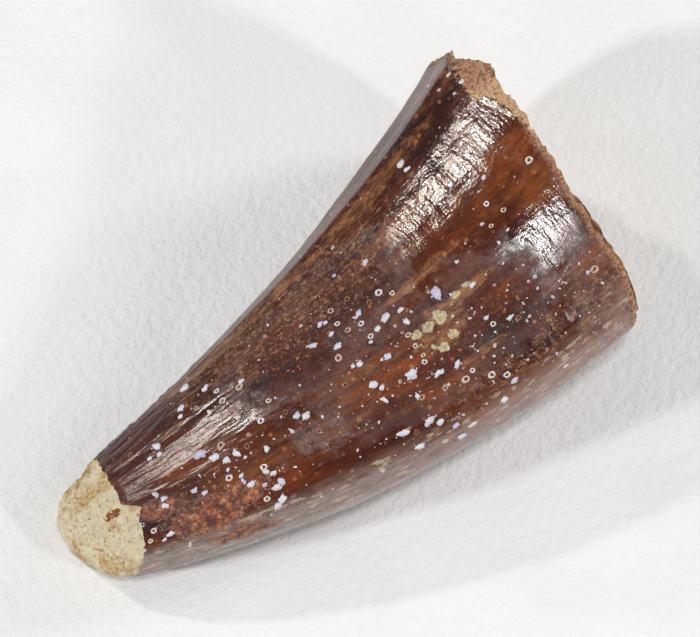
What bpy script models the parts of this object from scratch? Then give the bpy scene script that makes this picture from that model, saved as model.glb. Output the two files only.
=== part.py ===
"""Fossil mosasaur tooth, as one solid.

A curved conical crown lies on its side. Its pointed end is broken away, which leaves a stub of
pale core, and its root end is a crumbled break across the whole crown.

+X runs from the tip to the root end, +Y faces the hollow edge of the curve and +Z is up. The
origin is on the ground, below the middle of the tooth's box.
"""

import math

import bmesh
import bpy
from mathutils import Matrix, Vector, noise

# Sizes are written in millimetres and turned into metres.
MM = 0.001

# The crown, between two imagined flat ends.
CROWN_START = -19.8 * MM
CROWN_LENGTH = 34.5 * MM
TIP_HALF_WIDTH = 2.4 * MM
ROOT_HALF_WIDTH = 9.7 * MM
WIDTH_POWER = 0.68
TIP_THICKNESS = 4.0 * MM
ROOT_THICKNESS = 13.8 * MM
THICKNESS_POWER = 0.80
UPPER_SHARE = 0.47
SECTION_POWER = 2.15
BEND_RADIUS = 65.0 * MM
BEND_MIDDLE = 2.4 * MM
TIP_TURN = math.radians(20.0)

# Cutting edges: one low crease along each side of the crown, a little above its widest line.
EDGE_HEIGHT = 0.38 * MM
EDGE_REACH = math.radians(13.0)
HOLLOW_EDGE_ANGLE = math.radians(41.25)
BULGING_EDGE_ANGLE = math.radians(165.0)

# Flat-sided facets round the crown, and the slow unevenness of its surface.
FACETS_ROUND = 10
FACET_DEPTH = 0.11 * MM
SWELL_HEIGHT = 0.10 * MM
SWELL_LENGTH = 5.0 * MM
RELIEF_AT_TIP = 0.3

# Where the glossy outer layer ends near the tip, and the pale stub beyond it.
LAYER_END_X = -17.0 * MM
LAYER_END_SWING = 1.2 * MM
LAYER_END_FURTHEST = math.radians(65.0)
BROAD_CHIPS_ROUND = 3
BROAD_CHIP_DEPTH = 0.14 * MM
SMALL_CHIPS_ROUND = 7
SMALL_CHIP_DEPTH = 0.07 * MM
LAYER_THICKNESS = 0.14 * MM
# The layer's larger chips: middle and half width round the crown, and how far each moves its end.
LAYER_CHIPS = (
    (math.radians(42.0), math.radians(12.0), 0.4 * MM),
    (math.radians(100.0), math.radians(5.0), -0.25 * MM),
    (math.radians(113.0), math.radians(5.0), 0.5 * MM),
    (math.radians(165.0), math.radians(15.0), -0.3 * MM),
)
STUB_END = Vector((-19.38, 4.36, 1.6)) * MM
STUB_TOP_X = -16.0 * MM
STUB_TOP_Z = 5.7 * MM
STUB_SLOPE = 1.05
STUB_SQUARENESS = 2.6
STUB_ROUGHNESS = 0.22 * MM
STUB_GRAIN = 1.5 * MM
STUB_SMOOTH_SHARE = 0.3

# A worn facet on the stub's hollow side.
FACET_FACING = Vector((-0.35, 0.54, 0.765))
FACET_DISTANCE = 11.3 * MM

# The broken root end: a step across the break, with notches and lumps along its rim.
ROOT_BREAK_X = 12.15 * MM
ROOT_STEP = 2.1 * MM
ROOT_STEP_FROM_Y = -4.0 * MM
ROOT_STEP_TO_Y = 7.0 * MM
# Each notch or lump of the rim: middle and half width round the crown, and height.
RIM_SHAPES = (
    (math.radians(19.0), math.radians(14.0), -0.78 * MM),
    (math.radians(43.0), math.radians(4.0), -0.6 * MM),
    (math.radians(59.0), math.radians(4.5), 0.35 * MM),
    (math.radians(72.0), math.radians(8.0), -0.15 * MM),
    (math.radians(104.0), math.radians(20.0), 0.3 * MM),
    (math.radians(178.0), math.radians(16.0), -0.5 * MM),
)
BREAK_HOLLOW = 1.1 * MM
HOLLOW_FLOOR_SHARE = 0.30
HOLLOW_BRIM_SHARE = 0.80
BREAK_ROUGHNESS = 0.45 * MM
BREAK_GRAIN = 3.0 * MM
RIM_ROUGHNESS = 0.28 * MM
RIM_GRAIN = 1.2 * MM
RIM_FADE = 6
MOST_PROUD = 0.05 * MM

# The roughness of broken surfaces: layers of noise, each finer and weaker than the last.
NOISE_LAYERS = 3
NOISE_STEP = 2.0
NOISE_WEAKENING = 0.8
RIM_SEED = 3.0
STUB_LENGTHWISE_SEED = 5.0
STUB_UPWARD_SEED = 6.0
BREAK_SEED = 8.0

# The worn strip that the tooth lies on.
WORN_DEPTH = 0.20 * MM
SNAP_DISTANCE = 0.03 * MM
ON_PLANE = 0.001 * MM

# How finely the surface is divided.
POINTS_ROUND = 96
RINGS_ALONG = 32
BREAK_RINGS = 8
STUB_RINGS = 8
SMOOTH_LIMIT = math.radians(38.0)

# The glossy red-brown of the mineralised crown.
ENAMEL_COLOUR = (0.105, 0.038, 0.018, 1.0)
ENAMEL_ROUGHNESS = 0.30


def smooth_step(start, end, value):
    """Return 0 before start, 1 after end and a smooth rise between them."""
    share = min(max((value - start) / (end - start), 0.0), 1.0)
    return share * share * (3.0 - 2.0 * share)


def signed_power(value, power):
    """Raise the size of value to power and keep its sign."""
    return math.copysign(abs(value) ** power, value)


def angle_bump(angle, centre, half_angle):
    """Return a bump of height 1 at centre that fades out over half_angle on each side."""
    away = (angle - centre + math.pi) % math.tau - math.pi
    return math.exp(-((away / half_angle) ** 2))


def crease(angle, centre, reach):
    """Return a sharp-topped rise of height 1 at centre that fades out over reach on each side."""
    away = (angle - centre + math.pi) % math.tau - math.pi
    return math.exp(-abs(away) / reach)


def bumps(angle, shapes):
    """Return the total height of several bumps, each a middle, a half width and a height."""
    return sum(height * angle_bump(angle, middle, half) for middle, half, height in shapes)


def roughness_at(point, grain, seed):
    """Return a number of about -1 to 1 that varies over grain, for broken surfaces."""
    place = point / grain + Vector((seed, 2.0 * seed, 0.0))
    return noise.fractal(place, NOISE_WEAKENING, NOISE_STEP, NOISE_LAYERS)


def share_along(x):
    """Return how far x is along the crown, from 0 at the tip to 1 at the root end."""
    return min(max((x - CROWN_START) / CROWN_LENGTH, 0.0), 1.0)


def section_middle(x):
    """Return the middle of the crown's section at x."""
    sideways = (x - BEND_MIDDLE) ** 2 / (2.0 * BEND_RADIUS)
    return Vector((x, sideways, lower_height(x) - WORN_DEPTH))


def section_thickness(x):
    """Return the crown's thickness at x, from its underside to its top."""
    growth = share_along(x) ** THICKNESS_POWER
    return TIP_THICKNESS + (ROOT_THICKNESS - TIP_THICKNESS) * growth


def lower_height(x):
    """Return how far the crown's section reaches below its cutting edges at x."""
    return section_thickness(x) * (1.0 - UPPER_SHARE)


def crown_point(x, angle, inset=0.0):
    """Return the point of the crown's surface at x and angle, moved inwards by inset."""
    half_width = TIP_HALF_WIDTH + (ROOT_HALF_WIDTH - TIP_HALF_WIDTH) * share_along(x) ** WIDTH_POWER
    if math.sin(angle) > 0.0:
        half_height = section_thickness(x) * UPPER_SHARE
    else:
        half_height = lower_height(x)
    power = 2.0 / SECTION_POWER
    outwards = Vector((
        0.0,
        half_width * signed_power(math.cos(angle), power),
        half_height * signed_power(math.sin(angle), power),
    ))
    outwards.rotate(Matrix.Rotation(-TIP_TURN * (1.0 - share_along(x)), 3, "X"))
    point = section_middle(x) + outwards
    return point + outwards.normalized() * (surface_relief(point, angle) - inset)


def surface_relief(point, angle):
    """Return the height of the crown's ridges, facets and unevenness at a point."""
    edges = crease(angle, HOLLOW_EDGE_ANGLE, EDGE_REACH)
    edges += crease(angle, BULGING_EDGE_ANGLE, EDGE_REACH)
    facets = math.cos(FACETS_ROUND * angle)
    swell = noise.noise(point / SWELL_LENGTH)
    growth = RELIEF_AT_TIP + (1.0 - RELIEF_AT_TIP) * share_along(point.x)
    return EDGE_HEIGHT * edges * growth + FACET_DEPTH * facets * growth + SWELL_HEIGHT * swell


def layer_end(angle):
    """Return the x at which the glossy layer ends near the tip."""
    swing = LAYER_END_SWING * math.cos(angle - LAYER_END_FURTHEST)
    broad_chips = BROAD_CHIP_DEPTH * math.sin(BROAD_CHIPS_ROUND * angle)
    small_chips = SMALL_CHIP_DEPTH * math.sin(SMALL_CHIPS_ROUND * angle)
    return LAYER_END_X + swing + broad_chips + small_chips + bumps(angle, LAYER_CHIPS)


def root_end(angle):
    """Return the x of the broken rim at the root end."""
    rim = crown_point(ROOT_BREAK_X, angle)
    step = ROOT_STEP * smooth_step(ROOT_STEP_FROM_Y, ROOT_STEP_TO_Y, rim.y)
    crumbs = RIM_ROUGHNESS * roughness_at(rim, RIM_GRAIN, RIM_SEED)
    return ROOT_BREAK_X + step + bumps(angle, RIM_SHAPES) + crumbs


def ring_angles():
    """Return the angles of the points round the crown."""
    return [math.tau * index / POINTS_ROUND for index in range(POINTS_ROUND)]


def crown_rings():
    """Return the rings of points from the layer's end near the tip to the broken root."""
    rings = []
    for index in range(RINGS_ALONG):
        share = index / (RINGS_ALONG - 1)
        ring = []
        for angle in ring_angles():
            start = layer_end(angle)
            x = start + (root_end(angle) - start) * share
            ring.append(crown_point(x, angle))
        rings.append(ring)
    return rings


def stub_point(angle, share):
    """Return a point of the stub, from the layer's edge at share 0 to the stub's end at 1."""
    start = layer_end(angle)
    x = start + (STUB_END.x - start) * share
    point = crown_point(x, angle, LAYER_THICKNESS)
    highest = STUB_TOP_Z - STUB_SLOPE * (STUB_TOP_X - x)
    point.z = min(point.z, max(highest, STUB_END.z))
    rounding = 1.0 - (1.0 - share ** STUB_SQUARENESS) ** (1.0 / STUB_SQUARENESS)
    point = point.lerp(STUB_END, rounding)
    strength = STUB_ROUGHNESS * smooth_step(0.0, STUB_SMOOTH_SHARE, share)
    point.x += strength * roughness_at(point, STUB_GRAIN, STUB_LENGTHWISE_SEED)
    point.z += strength * roughness_at(point, STUB_GRAIN, STUB_UPWARD_SEED)
    beyond = point.dot(FACET_FACING) - FACET_DISTANCE
    return point - FACET_FACING * max(0.0, beyond)


def stub_rings():
    """Return the rings of the pale stub, from the layer's edge in towards the stub's end."""
    shares = [math.sin(0.5 * math.pi * index / STUB_RINGS) for index in range(STUB_RINGS)]
    return [[stub_point(angle, share) for angle in ring_angles()] for share in shares]


def break_rings(rim):
    """Return the rings of the broken root face from its rim inwards, and its middle point."""
    middle = sum(rim, Vector()) / len(rim)
    rings = []
    for index in range(1, BREAK_RINGS):
        reach = 1.0 - index / BREAK_RINGS
        hollow = BREAK_HOLLOW * (1.0 - smooth_step(HOLLOW_FLOOR_SHARE, HOLLOW_BRIM_SHARE, reach))
        ring = []
        for point in rim:
            place = middle.lerp(point, reach)
            place.x = middle.x + (point.x - middle.x) * reach ** RIM_FADE
            lumps = BREAK_ROUGHNESS * roughness_at(place, BREAK_GRAIN, BREAK_SEED)
            place.x += min(lumps, MOST_PROUD) - hollow
            ring.append(place)
        rings.append(ring)
    return rings, middle - Vector((BREAK_HOLLOW, 0.0, 0.0))


def join_rings(mesh, first, second):
    """Span two rings of vertices with a band of faces."""
    for index in range(len(first)):
        after = (index + 1) % len(first)
        mesh.faces.new((first[index], first[after], second[after], second[index]))


def close_ring(mesh, ring, point):
    """Close a ring of vertices with triangles to one point."""
    tip = mesh.verts.new(point)
    for index in range(len(ring)):
        mesh.faces.new((ring[index], ring[(index + 1) % len(ring)], tip))


def wear_flat(mesh):
    """Cut the underside off flat at ground level, where the tooth lies."""
    for vertex in mesh.verts:
        if abs(vertex.co.z) < SNAP_DISTANCE:
            vertex.co.z = 0.0
    everything = mesh.verts[:] + mesh.edges[:] + mesh.faces[:]
    bmesh.ops.bisect_plane(
        mesh, geom=everything, dist=ON_PLANE, plane_co=(0.0, 0.0, 0.0),
        plane_no=(0.0, 0.0, -1.0), clear_outer=True,
    )
    bmesh.ops.remove_doubles(mesh, verts=mesh.verts, dist=SNAP_DISTANCE)
    open_edges = [edge for edge in mesh.edges if edge.is_boundary]
    bmesh.ops.holes_fill(mesh, edges=open_edges, sides=0)
    for vertex in mesh.verts:
        if vertex.co.z < ON_PLANE:
            vertex.co.z = 0.0


def centre_on_ground(mesh):
    """Move the mesh so that the origin is below the middle of its box."""
    for axis in (0, 1):
        places = [vertex.co[axis] for vertex in mesh.verts]
        middle = 0.5 * (min(places) + max(places))
        for vertex in mesh.verts:
            vertex.co[axis] -= middle


def tooth_mesh():
    """Build the closed surface of the tooth."""
    crown = crown_rings()
    stub = stub_rings()
    inner, break_middle = break_rings(crown[-1])
    mesh = bmesh.new()
    rings = list(reversed(stub)) + crown + inner
    made = [[mesh.verts.new(point) for point in ring] for ring in rings]
    for first, second in zip(made, made[1:]):
        join_rings(mesh, first, second)
    close_ring(mesh, made[0], STUB_END)
    close_ring(mesh, made[-1], break_middle)
    bmesh.ops.recalc_face_normals(mesh, faces=mesh.faces)
    wear_flat(mesh)
    bmesh.ops.recalc_face_normals(mesh, faces=mesh.faces)
    centre_on_ground(mesh)
    data = bpy.data.meshes.new("tooth")
    mesh.to_mesh(data)
    mesh.free()
    data.shade_smooth()
    data.set_sharp_from_angle(angle=SMOOTH_LIMIT)
    return data


def tooth_material():
    """Return the material of the mineralised crown."""
    material = bpy.data.materials.new("tooth")
    material.use_nodes = True
    shader = material.node_tree.nodes["Principled BSDF"]
    shader.inputs["Base Color"].default_value = ENAMEL_COLOUR
    shader.inputs["Roughness"].default_value = ENAMEL_ROUGHNESS
    shader.inputs["Metallic"].default_value = 0.0
    return material


def clear_scene():
    """Remove every object of the scene that is open."""
    for thing in list(bpy.data.objects):
        bpy.data.objects.remove(thing)


def main():
    """Build the tooth in an empty scene."""
    clear_scene()
    data = tooth_mesh()
    data.materials.append(tooth_material())
    tooth = bpy.data.objects.new("tooth", data)
    bpy.context.collection.objects.link(tooth)


main()
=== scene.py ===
"""The fossil mosasaur tooth with its full surface and finishes.

The tooth lies on its side. +X runs from the broken tip to the root end, +Y faces the hollow edge
of the curve and +Z is up. Shapes are worked out in millimetres and made in metres.
"""

import logging
import math
import random
from dataclasses import dataclass, field
from enum import Enum
from typing import NamedTuple, Optional, Sequence, Union

import bmesh
import bpy
import numpy as np
from mathutils import Matrix, Vector, noise
from mathutils.bvhtree import BVHTree


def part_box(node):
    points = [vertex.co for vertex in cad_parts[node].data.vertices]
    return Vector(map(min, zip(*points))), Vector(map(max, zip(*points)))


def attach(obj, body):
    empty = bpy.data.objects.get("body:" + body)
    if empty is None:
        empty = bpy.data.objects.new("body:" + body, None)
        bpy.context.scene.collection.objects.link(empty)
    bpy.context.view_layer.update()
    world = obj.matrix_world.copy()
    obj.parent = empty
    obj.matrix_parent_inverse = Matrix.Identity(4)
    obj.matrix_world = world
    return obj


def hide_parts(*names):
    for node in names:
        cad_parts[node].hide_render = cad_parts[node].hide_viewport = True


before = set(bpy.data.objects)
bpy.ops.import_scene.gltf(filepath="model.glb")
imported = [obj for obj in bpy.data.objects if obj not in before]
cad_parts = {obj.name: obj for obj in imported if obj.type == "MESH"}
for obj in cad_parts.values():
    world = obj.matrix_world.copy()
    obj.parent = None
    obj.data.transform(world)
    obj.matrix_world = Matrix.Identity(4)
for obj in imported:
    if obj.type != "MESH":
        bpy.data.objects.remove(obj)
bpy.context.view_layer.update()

MM = 0.001
BODY = "root"
TOOTH_NODE = "tooth"
ENAMEL_SLOT = "fossil_enamel"
LOG = logging.getLogger("tooth")
# How fast the finer lumps fade, how much finer each layer is and how many layers there are.
CRUMBLING = (0.8, 2.0, 3)
CHIPPING = (0.6, 2.0, 4)

Colour = tuple[float, float, float, float]
Triple = tuple[float, float, float]
Stretch = Union[float, Triple]
Number = Union[float, "Field"]
Paint = Union[Colour, "Field"]


def paint(red: int, green: int, blue: int) -> Colour:
    """Return the linear, opaque colour of a paint given in steps of 0 to 255."""
    linear = [(step / 255.0) ** 2.2 for step in (red, green, blue)]
    return (linear[0], linear[1], linear[2], 1.0)


def smooth_step(start: float, end: float, value: float) -> float:
    """Return 0 before start, 1 after end and a smooth rise between them."""
    share = min(max((value - start) / (end - start), 0.0), 1.0)
    return share * share * (3.0 - 2.0 * share)


def signed_power(value: float, power: float) -> float:
    """Return the size of value raised to power, with value's sign."""
    return math.copysign(abs(value) ** power, value)


def angle_between(angle: float, centre: float) -> float:
    """Return the turn from centre to angle, from -pi to pi."""
    return (angle - centre + math.pi) % math.tau - math.pi


def angle_bump(angle: float, centre: float, half_angle: float) -> float:
    """Return 1 at the centre, fading to 0 on both sides over about half_angle."""
    return math.exp(-((angle_between(angle, centre) / half_angle) ** 2))


def roughness_at(point: Vector, grain: float, seed: float) -> float:
    """Return the roughness, about -1 to 1, of a broken surface with lumps as wide as grain."""
    return noise.fractal(point / grain + Vector((seed, 2.0 * seed, 0.0)), *CRUMBLING)


def noise_at(point: Vector, grain: Triple) -> float:
    """Return noise, -1 to 1, with lumps that measure grain along the three axes."""
    return noise.noise(Vector([place / size for place, size in zip(point, grain)]))


def turns(count: int) -> list[float]:
    """Return the angles of that many even steps round a circle."""
    return [math.tau * index / count for index in range(count)]


def add_object(data: bpy.types.ID) -> bpy.types.Object:
    """Return a new object in the scene, with its data's name."""
    thing = bpy.data.objects.new(data.name, data)
    bpy.context.collection.objects.link(thing)
    return thing


def add_piece(data: bpy.types.Mesh, finishes: Sequence[bpy.types.Material]) -> bpy.types.Object:
    """Dress a mesh and put it into the scene.

    Args:
        data: The mesh, named as its piece.
        finishes: What its faces take, in the order of their slots.

    Returns:
        The piece.
    """
    for finish in finishes:
        data.materials.append(finish)
    LOG.info("%s: %d faces", data.name, len(data.polygons))
    return add_object(data)


# ---- shaders


class Field:
    """A number, colour or direction that varies over a surface, held as a socket."""

    def __init__(self, kit: "NodeKit", socket: bpy.types.NodeSocket) -> None:
        self.kit = kit
        self.socket = socket

    def __add__(self, other: Number) -> "Field":
        """Return self + other."""
        return self.kit.math("ADD", self, other)

    __radd__ = __add__

    def __sub__(self, other: Number) -> "Field":
        """Return self - other."""
        return self.kit.math("SUBTRACT", self, other)

    def __rsub__(self, other: float) -> "Field":
        """Return other - self."""
        return self.kit.math("SUBTRACT", other, self)

    def __mul__(self, other: Number) -> "Field":
        """Return self * other."""
        return self.kit.math("MULTIPLY", self, other)

    __rmul__ = __mul__

    def stretched(self, scale: Stretch) -> "Field":
        """Return this direction times a number, or with each of its three numbers multiplied."""
        return self.kit.vector("MULTIPLY", self, (scale,) * 3 if isinstance(scale, float) else scale)

    def moved(self, *offset: float) -> "Field":
        """Return this direction with three numbers added."""
        return self.kit.vector("ADD", self, offset)

    def rise(self, start: float, end: float) -> "Field":
        """Return a smooth rise from 0 at start to 1 at end, which may be the lower one."""
        inputs = {"Value": self, "From Min": start, "From Max": end}
        return self.kit.out(0, "ShaderNodeMapRange", {"interpolation_type": "SMOOTHSTEP"}, inputs)

    def at_least(self, other: "Field") -> "Field":
        """Return the larger of self and other."""
        return self.kit.math("MAXIMUM", self, other)


class NodeKit:
    """Makes one material and the nodes in it."""

    def __init__(self, name: str) -> None:
        """Start an empty material.

        Args:
            name: Its name.
        """
        self.material = bpy.data.materials.new(name)
        self.material.use_nodes = True
        self.tree = self.material.node_tree
        self.shader = self.tree.nodes["Principled BSDF"]

    def node(self, kind: str, settings: dict, inputs: dict) -> bpy.types.Node:
        """Add a node.

        Args:
            kind: The node's type.
            settings: What to set first, such as an operation.
            inputs: A value or a Field for each socket, by name or by place.

        Returns:
            The node.
        """
        made = self.tree.nodes.new(kind)
        for name, value in settings.items():
            setattr(made, name, value)
        self.feed(made, inputs)
        return made

    def out(self, output: Union[int, str], kind: str, settings: dict, inputs: dict) -> Field:
        """Add a node and return the output that has that place or name."""
        return Field(self, self.node(kind, settings, inputs).outputs[output])

    def feed(self, node: bpy.types.Node, inputs: dict) -> None:
        """Set or link a node's sockets.

        Args:
            node: The node that is fed.
            inputs: A value or a Field for each socket, by name or by place.
        """
        for name, value in inputs.items():
            if isinstance(value, Field):
                self.tree.links.new(value.socket, node.inputs[name])
            else:
                node.inputs[name].default_value = value

    def math(self, operation: str, first: Number, second: Number) -> Field:
        """Return what a Math node makes of two numbers."""
        return self.out(0, "ShaderNodeMath", {"operation": operation}, {0: first, 1: second})

    def vector(self, operation: str, first: Field, second: Triple) -> Field:
        """Return what a Vector Math node makes of a direction and three numbers."""
        return self.out(0, "ShaderNodeVectorMath", {"operation": operation}, {0: first, 1: second})

    def attribute(self, name: str, output: str = "Fac") -> Field:
        """Return the number, or with "Vector" the direction, that the mesh stores by that name."""
        return self.out(output, "ShaderNodeAttribute", {"attribute_name": name}, {})

    def place(self) -> Field:
        """Return the place on the piece, in millimetres."""
        return self.out("Object", "ShaderNodeTexCoord", {}, {}).stretched(1.0 / MM)

    def noise(self, place: Field, stretch: Stretch, detail: float, rough: float = 0.5) -> Field:
        """Make cloudy noise.

        Args:
            place: Where it is read.
            stretch: How many lumps there are to a millimetre, everywhere or in each direction.
            detail: How many finer layers are added.
            rough: How strong the finer layers are.

        Returns:
            The noise, about 0.5 on average.
        """
        inputs = {"Vector": place.stretched(stretch), "Scale": 1.0, "Detail": detail}
        return self.out("Fac", "ShaderNodeTexNoise", {}, {**inputs, "Roughness": rough})

    def cells(self, place: Field, density: float) -> tuple[Field, Field]:
        """Scatter points and measure from the nearest.

        Args:
            place: Where it is read.
            density: How many points there are to a millimetre.

        Returns:
            The distance to the nearest point, and a chance number of that point.
        """
        inputs = {"Vector": place.stretched(density), "Scale": 1.0}
        points = self.node("ShaderNodeTexVoronoi", {}, inputs).outputs
        chance = self.out(0, "ShaderNodeSeparateColor", {}, {0: Field(self, points["Color"])})
        return Field(self, points["Distance"]), chance

    def ramp(self, value: Field, *stops: tuple[float, Colour]) -> Field:
        """Turn a number into a colour.

        Args:
            value: The number, from 0 to 1.
            stops: A number and its colour for each stop.

        Returns:
            The colour.
        """
        made = self.node("ShaderNodeValToRGB", {}, {0: value})
        elements = made.color_ramp.elements
        while len(elements) < len(stops):
            elements.new(1.0)
        for element, (place, colour) in zip(elements, stops):
            element.position = place
            element.color = colour
        return Field(self, made.outputs["Color"])

    def blend(self, under: Paint, over: Paint, amount: Number) -> Field:
        """Return the colour under where amount is 0, and the colour over where it is 1."""
        return self.out(2, "ShaderNodeMix", {"data_type": "RGBA"}, {0: amount, 6: under, 7: over})

    def layered(self, colour: Field, *layers: tuple[Paint, Number]) -> Field:
        """Return a colour with others laid over it in turn, each given with its amount."""
        for over, amount in layers:
            colour = self.blend(colour, over, amount)
        return colour

    def relief(self, height: Field) -> Field:
        """Return the direction that the surface faces with a height in millimetres on it."""
        inputs = {"Strength": 1.0, "Distance": MM, "Height": height}
        return self.out("Normal", "ShaderNodeBump", {}, inputs)

    def finish(self, inputs: dict) -> bpy.types.Material:
        """Feed the material's own shader by its sockets' names and return the material."""
        self.feed(self.shader, inputs)
        return self.material


# ---- shapes


GRAIN_RADIUS = 6.0
PATCH_REACH = 1.6
PATCH_RAGGED = 0.40
PATCH_GRAIN = 0.6


class Patch(NamedTuple):
    """A ragged area on the crown: its seed, its middle, its half sizes and how soft its edge is."""

    seed: float
    x: float
    angle: float
    half_length: float
    half_width: float
    edge: float = 0.25

    def weight(self, x: float, angle: float, place: Vector) -> float:
        """Say how much a place belongs to the patch.

        Args:
            x: The place along the crown, in millimetres.
            angle: The place round the crown, in radians.
            place: The same place as a point, in millimetres.

        Returns:
            1 inside, 0 outside and a ragged fall between them.
        """
        turn = angle_between(angle, math.radians(self.angle)) * GRAIN_RADIUS
        away = math.hypot((x - self.x) / self.half_length, turn / self.half_width)
        if away > PATCH_REACH + self.edge:
            return 0.0
        ragged = away + PATCH_RAGGED * roughness_at(place, PATCH_GRAIN, self.seed)
        return smooth_step(1.0 + self.edge, 1.0 - self.edge, ragged)


@dataclass(frozen=True)
class ToothForm:
    """The shape of the tooth, in millimetres, before it is placed in its box."""

    crown_start: float = -19.8
    crown_length: float = 34.5
    tip_half_width: float = 2.4
    root_half_width: float = 9.7
    width_power: float = 0.68
    tip_thickness: float = 4.0
    root_thickness: float = 13.8
    thickness_power: float = 0.80
    upper_share: float = 0.47
    section_power: float = 2.15
    bend_radius: float = 65.0
    bend_middle: float = 2.4
    tip_turn: float = math.radians(20.0)
    edge_height: float = 0.38
    edge_half_angle: float = math.radians(13.0)
    hollow_edge_angle: float = math.radians(41.25)
    bulging_edge_angle: float = math.radians(165.0)
    facets_round: int = 8
    facet_depth: float = 0.07
    facet_twist: float = math.radians(1.9)
    facets_from: float = 1.0
    facets_full_at: float = 8.0
    facets_straight_from: float = 12.0
    longest_twist: float = 8.0
    swell_height: float = 0.10
    swell_length: float = 5.0
    relief_at_tip: float = 0.3
    layer_end_x: float = -17.0
    layer_end_swing: float = 1.2
    layer_end_furthest: float = math.radians(65.0)
    layer_waves: tuple[tuple[float, float], ...] = ((3.0, 0.14), (7.0, 0.07))
    layer_crumbs: float = 0.10
    layer_crumb_steps: float = 8.0
    layer_chips: tuple[Triple, ...] = (
        (42.0, 12.0, 0.4), (100.0, 5.0, -0.25), (113.0, 5.0, 0.5), (165.0, 15.0, -0.3),
    )
    layer_thickness: float = 0.14
    stub_end: Vector = field(default_factory=lambda: Vector((-19.38, 4.36, 1.6)))
    stub_top_x: float = -16.0
    stub_top_z: float = 5.7
    stub_slope: float = 1.05
    stub_squareness: float = 2.6
    stub_roughness: float = 0.22
    stub_grain: float = 1.5
    stub_smooth_share: float = 0.3
    facet_facing: Vector = field(default_factory=lambda: Vector((-0.35, 0.54, 0.765)))
    facet_distance: float = 11.3
    root_break_x: float = 12.15
    root_step: float = 2.1
    root_step_from_y: float = -4.0
    root_step_to_y: float = 7.0
    root_shapes: tuple[Triple, ...] = (
        (19.0, 14.0, -0.78), (43.0, 4.0, -0.6), (59.0, 4.5, 0.35), (72.0, 8.0, -0.15),
        (104.0, 20.0, 0.3), (178.0, 16.0, -0.5),
    )
    break_hollow: float = 1.1
    break_roughness: float = 0.45
    break_grain: float = 3.0
    most_proud: float = 0.05
    rim_roughness: float = 0.28
    rim_grain: float = 1.2
    rim_dust: float = 0.09
    rim_dust_grain: float = 0.35
    worn_depth: float = 0.20

    def share_along(self, x: float) -> float:
        """Return how far x is along the crown, from 0 at the tip to 1 at the root end."""
        return min(max((x - self.crown_start) / self.crown_length, 0.0), 1.0)

    def thickness(self, x: float) -> float:
        """Return the crown's thickness at x, from its underside to its top."""
        growth = self.share_along(x) ** self.thickness_power
        return self.tip_thickness + (self.root_thickness - self.tip_thickness) * growth

    def lower_height(self, x: float) -> float:
        """Return how far the crown's section reaches below its cutting edges at x."""
        return self.thickness(x) * (1.0 - self.upper_share)

    def middle(self, x: float) -> Vector:
        """Return the middle of the crown's section at x."""
        sideways = (x - self.bend_middle) ** 2 / (2.0 * self.bend_radius)
        return Vector((x, sideways, self.lower_height(x) - self.worn_depth))

    def crown_point(self, x: float, angle: float, inset: float = 0.0) -> Vector:
        """Find a point of the crown's surface.

        Args:
            x: Place along the crown.
            angle: Place round the crown, in radians.
            inset: How far the point is moved inwards.

        Returns:
            The point, in millimetres.
        """
        share = self.share_along(x)
        widening = (self.root_half_width - self.tip_half_width) * share ** self.width_power
        half_width = self.tip_half_width + widening
        half_height = self.lower_height(x)
        if math.sin(angle) > 0.0:
            half_height = self.thickness(x) * self.upper_share
        power = 2.0 / self.section_power
        outwards = Vector((
            0.0,
            half_width * signed_power(math.cos(angle), power),
            half_height * signed_power(math.sin(angle), power),
        ))
        outwards.rotate(Matrix.Rotation(-self.tip_turn * (1.0 - share), 3, "X"))
        point = self.middle(x) + outwards
        return point + outwards.normalized() * (self.relief(point, angle) - inset)

    def relief(self, point: Vector, angle: float) -> float:
        """Work out how the crown's ridges, facets and unevenness stand out.

        Args:
            point: A point of the smooth crown.
            angle: Its place round the crown, in radians.

        Returns:
            The height there, in millimetres.
        """
        edges = math.exp(-abs(angle_between(angle, self.hollow_edge_angle)) / self.edge_half_angle)
        edges += math.exp(-abs(angle_between(angle, self.bulging_edge_angle)) / self.edge_half_angle)
        before = min(max(self.facets_straight_from - point.x, 0.0), self.longest_twist)
        facets = math.cos(self.facets_round * (angle - self.facet_twist * before))
        facets *= smooth_step(self.facets_from, self.facets_full_at, point.x)
        ridges = self.edge_height * edges + self.facet_depth * facets
        growth = self.relief_at_tip + (1.0 - self.relief_at_tip) * self.share_along(point.x)
        return ridges * growth + self.swell_height * noise.noise(point / self.swell_length)

    def layer_end(self, angle: float) -> float:
        """Find where the glossy layer ends near the tip.

        Args:
            angle: A place round the crown, in radians.

        Returns:
            The x of its end there.
        """
        swing = self.layer_end_swing * math.cos(angle - self.layer_end_furthest)
        chips = sum(height * math.sin(waves * angle) for waves, height in self.layer_waves)
        around = Vector((math.cos(angle), math.sin(angle), 0.5)) * self.layer_crumb_steps
        chips += self.layer_crumbs * noise.fractal(around, *CHIPPING)
        return self.layer_end_x + swing + chips + self._bumps(angle, self.layer_chips)

    @staticmethod
    def _bumps(angle: float, shapes: Sequence[Triple]) -> float:
        """Add up soft bumps round the crown.

        Args:
            angle: Where they are read, in radians.
            shapes: The middle and half width of each, in degrees, and its height.

        Returns:
            Their total height.
        """
        return sum(
            height * angle_bump(angle, math.radians(middle), math.radians(half))
            for middle, half, height in shapes
        )

    def root_end(self, angle: float) -> float:
        """Find where the crown is broken at the root end.

        Args:
            angle: A place round the crown, in radians.

        Returns:
            The x of the rim there.
        """
        rim = self.crown_point(self.root_break_x, angle)
        step = self.root_step * smooth_step(self.root_step_from_y, self.root_step_to_y, rim.y)
        crumbs = self.rim_roughness * roughness_at(rim, self.rim_grain, 3.0)
        crumbs += self.rim_dust * roughness_at(rim, self.rim_dust_grain, 12.0)
        return self.root_break_x + step + self._bumps(angle, self.root_shapes) + crumbs

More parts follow.
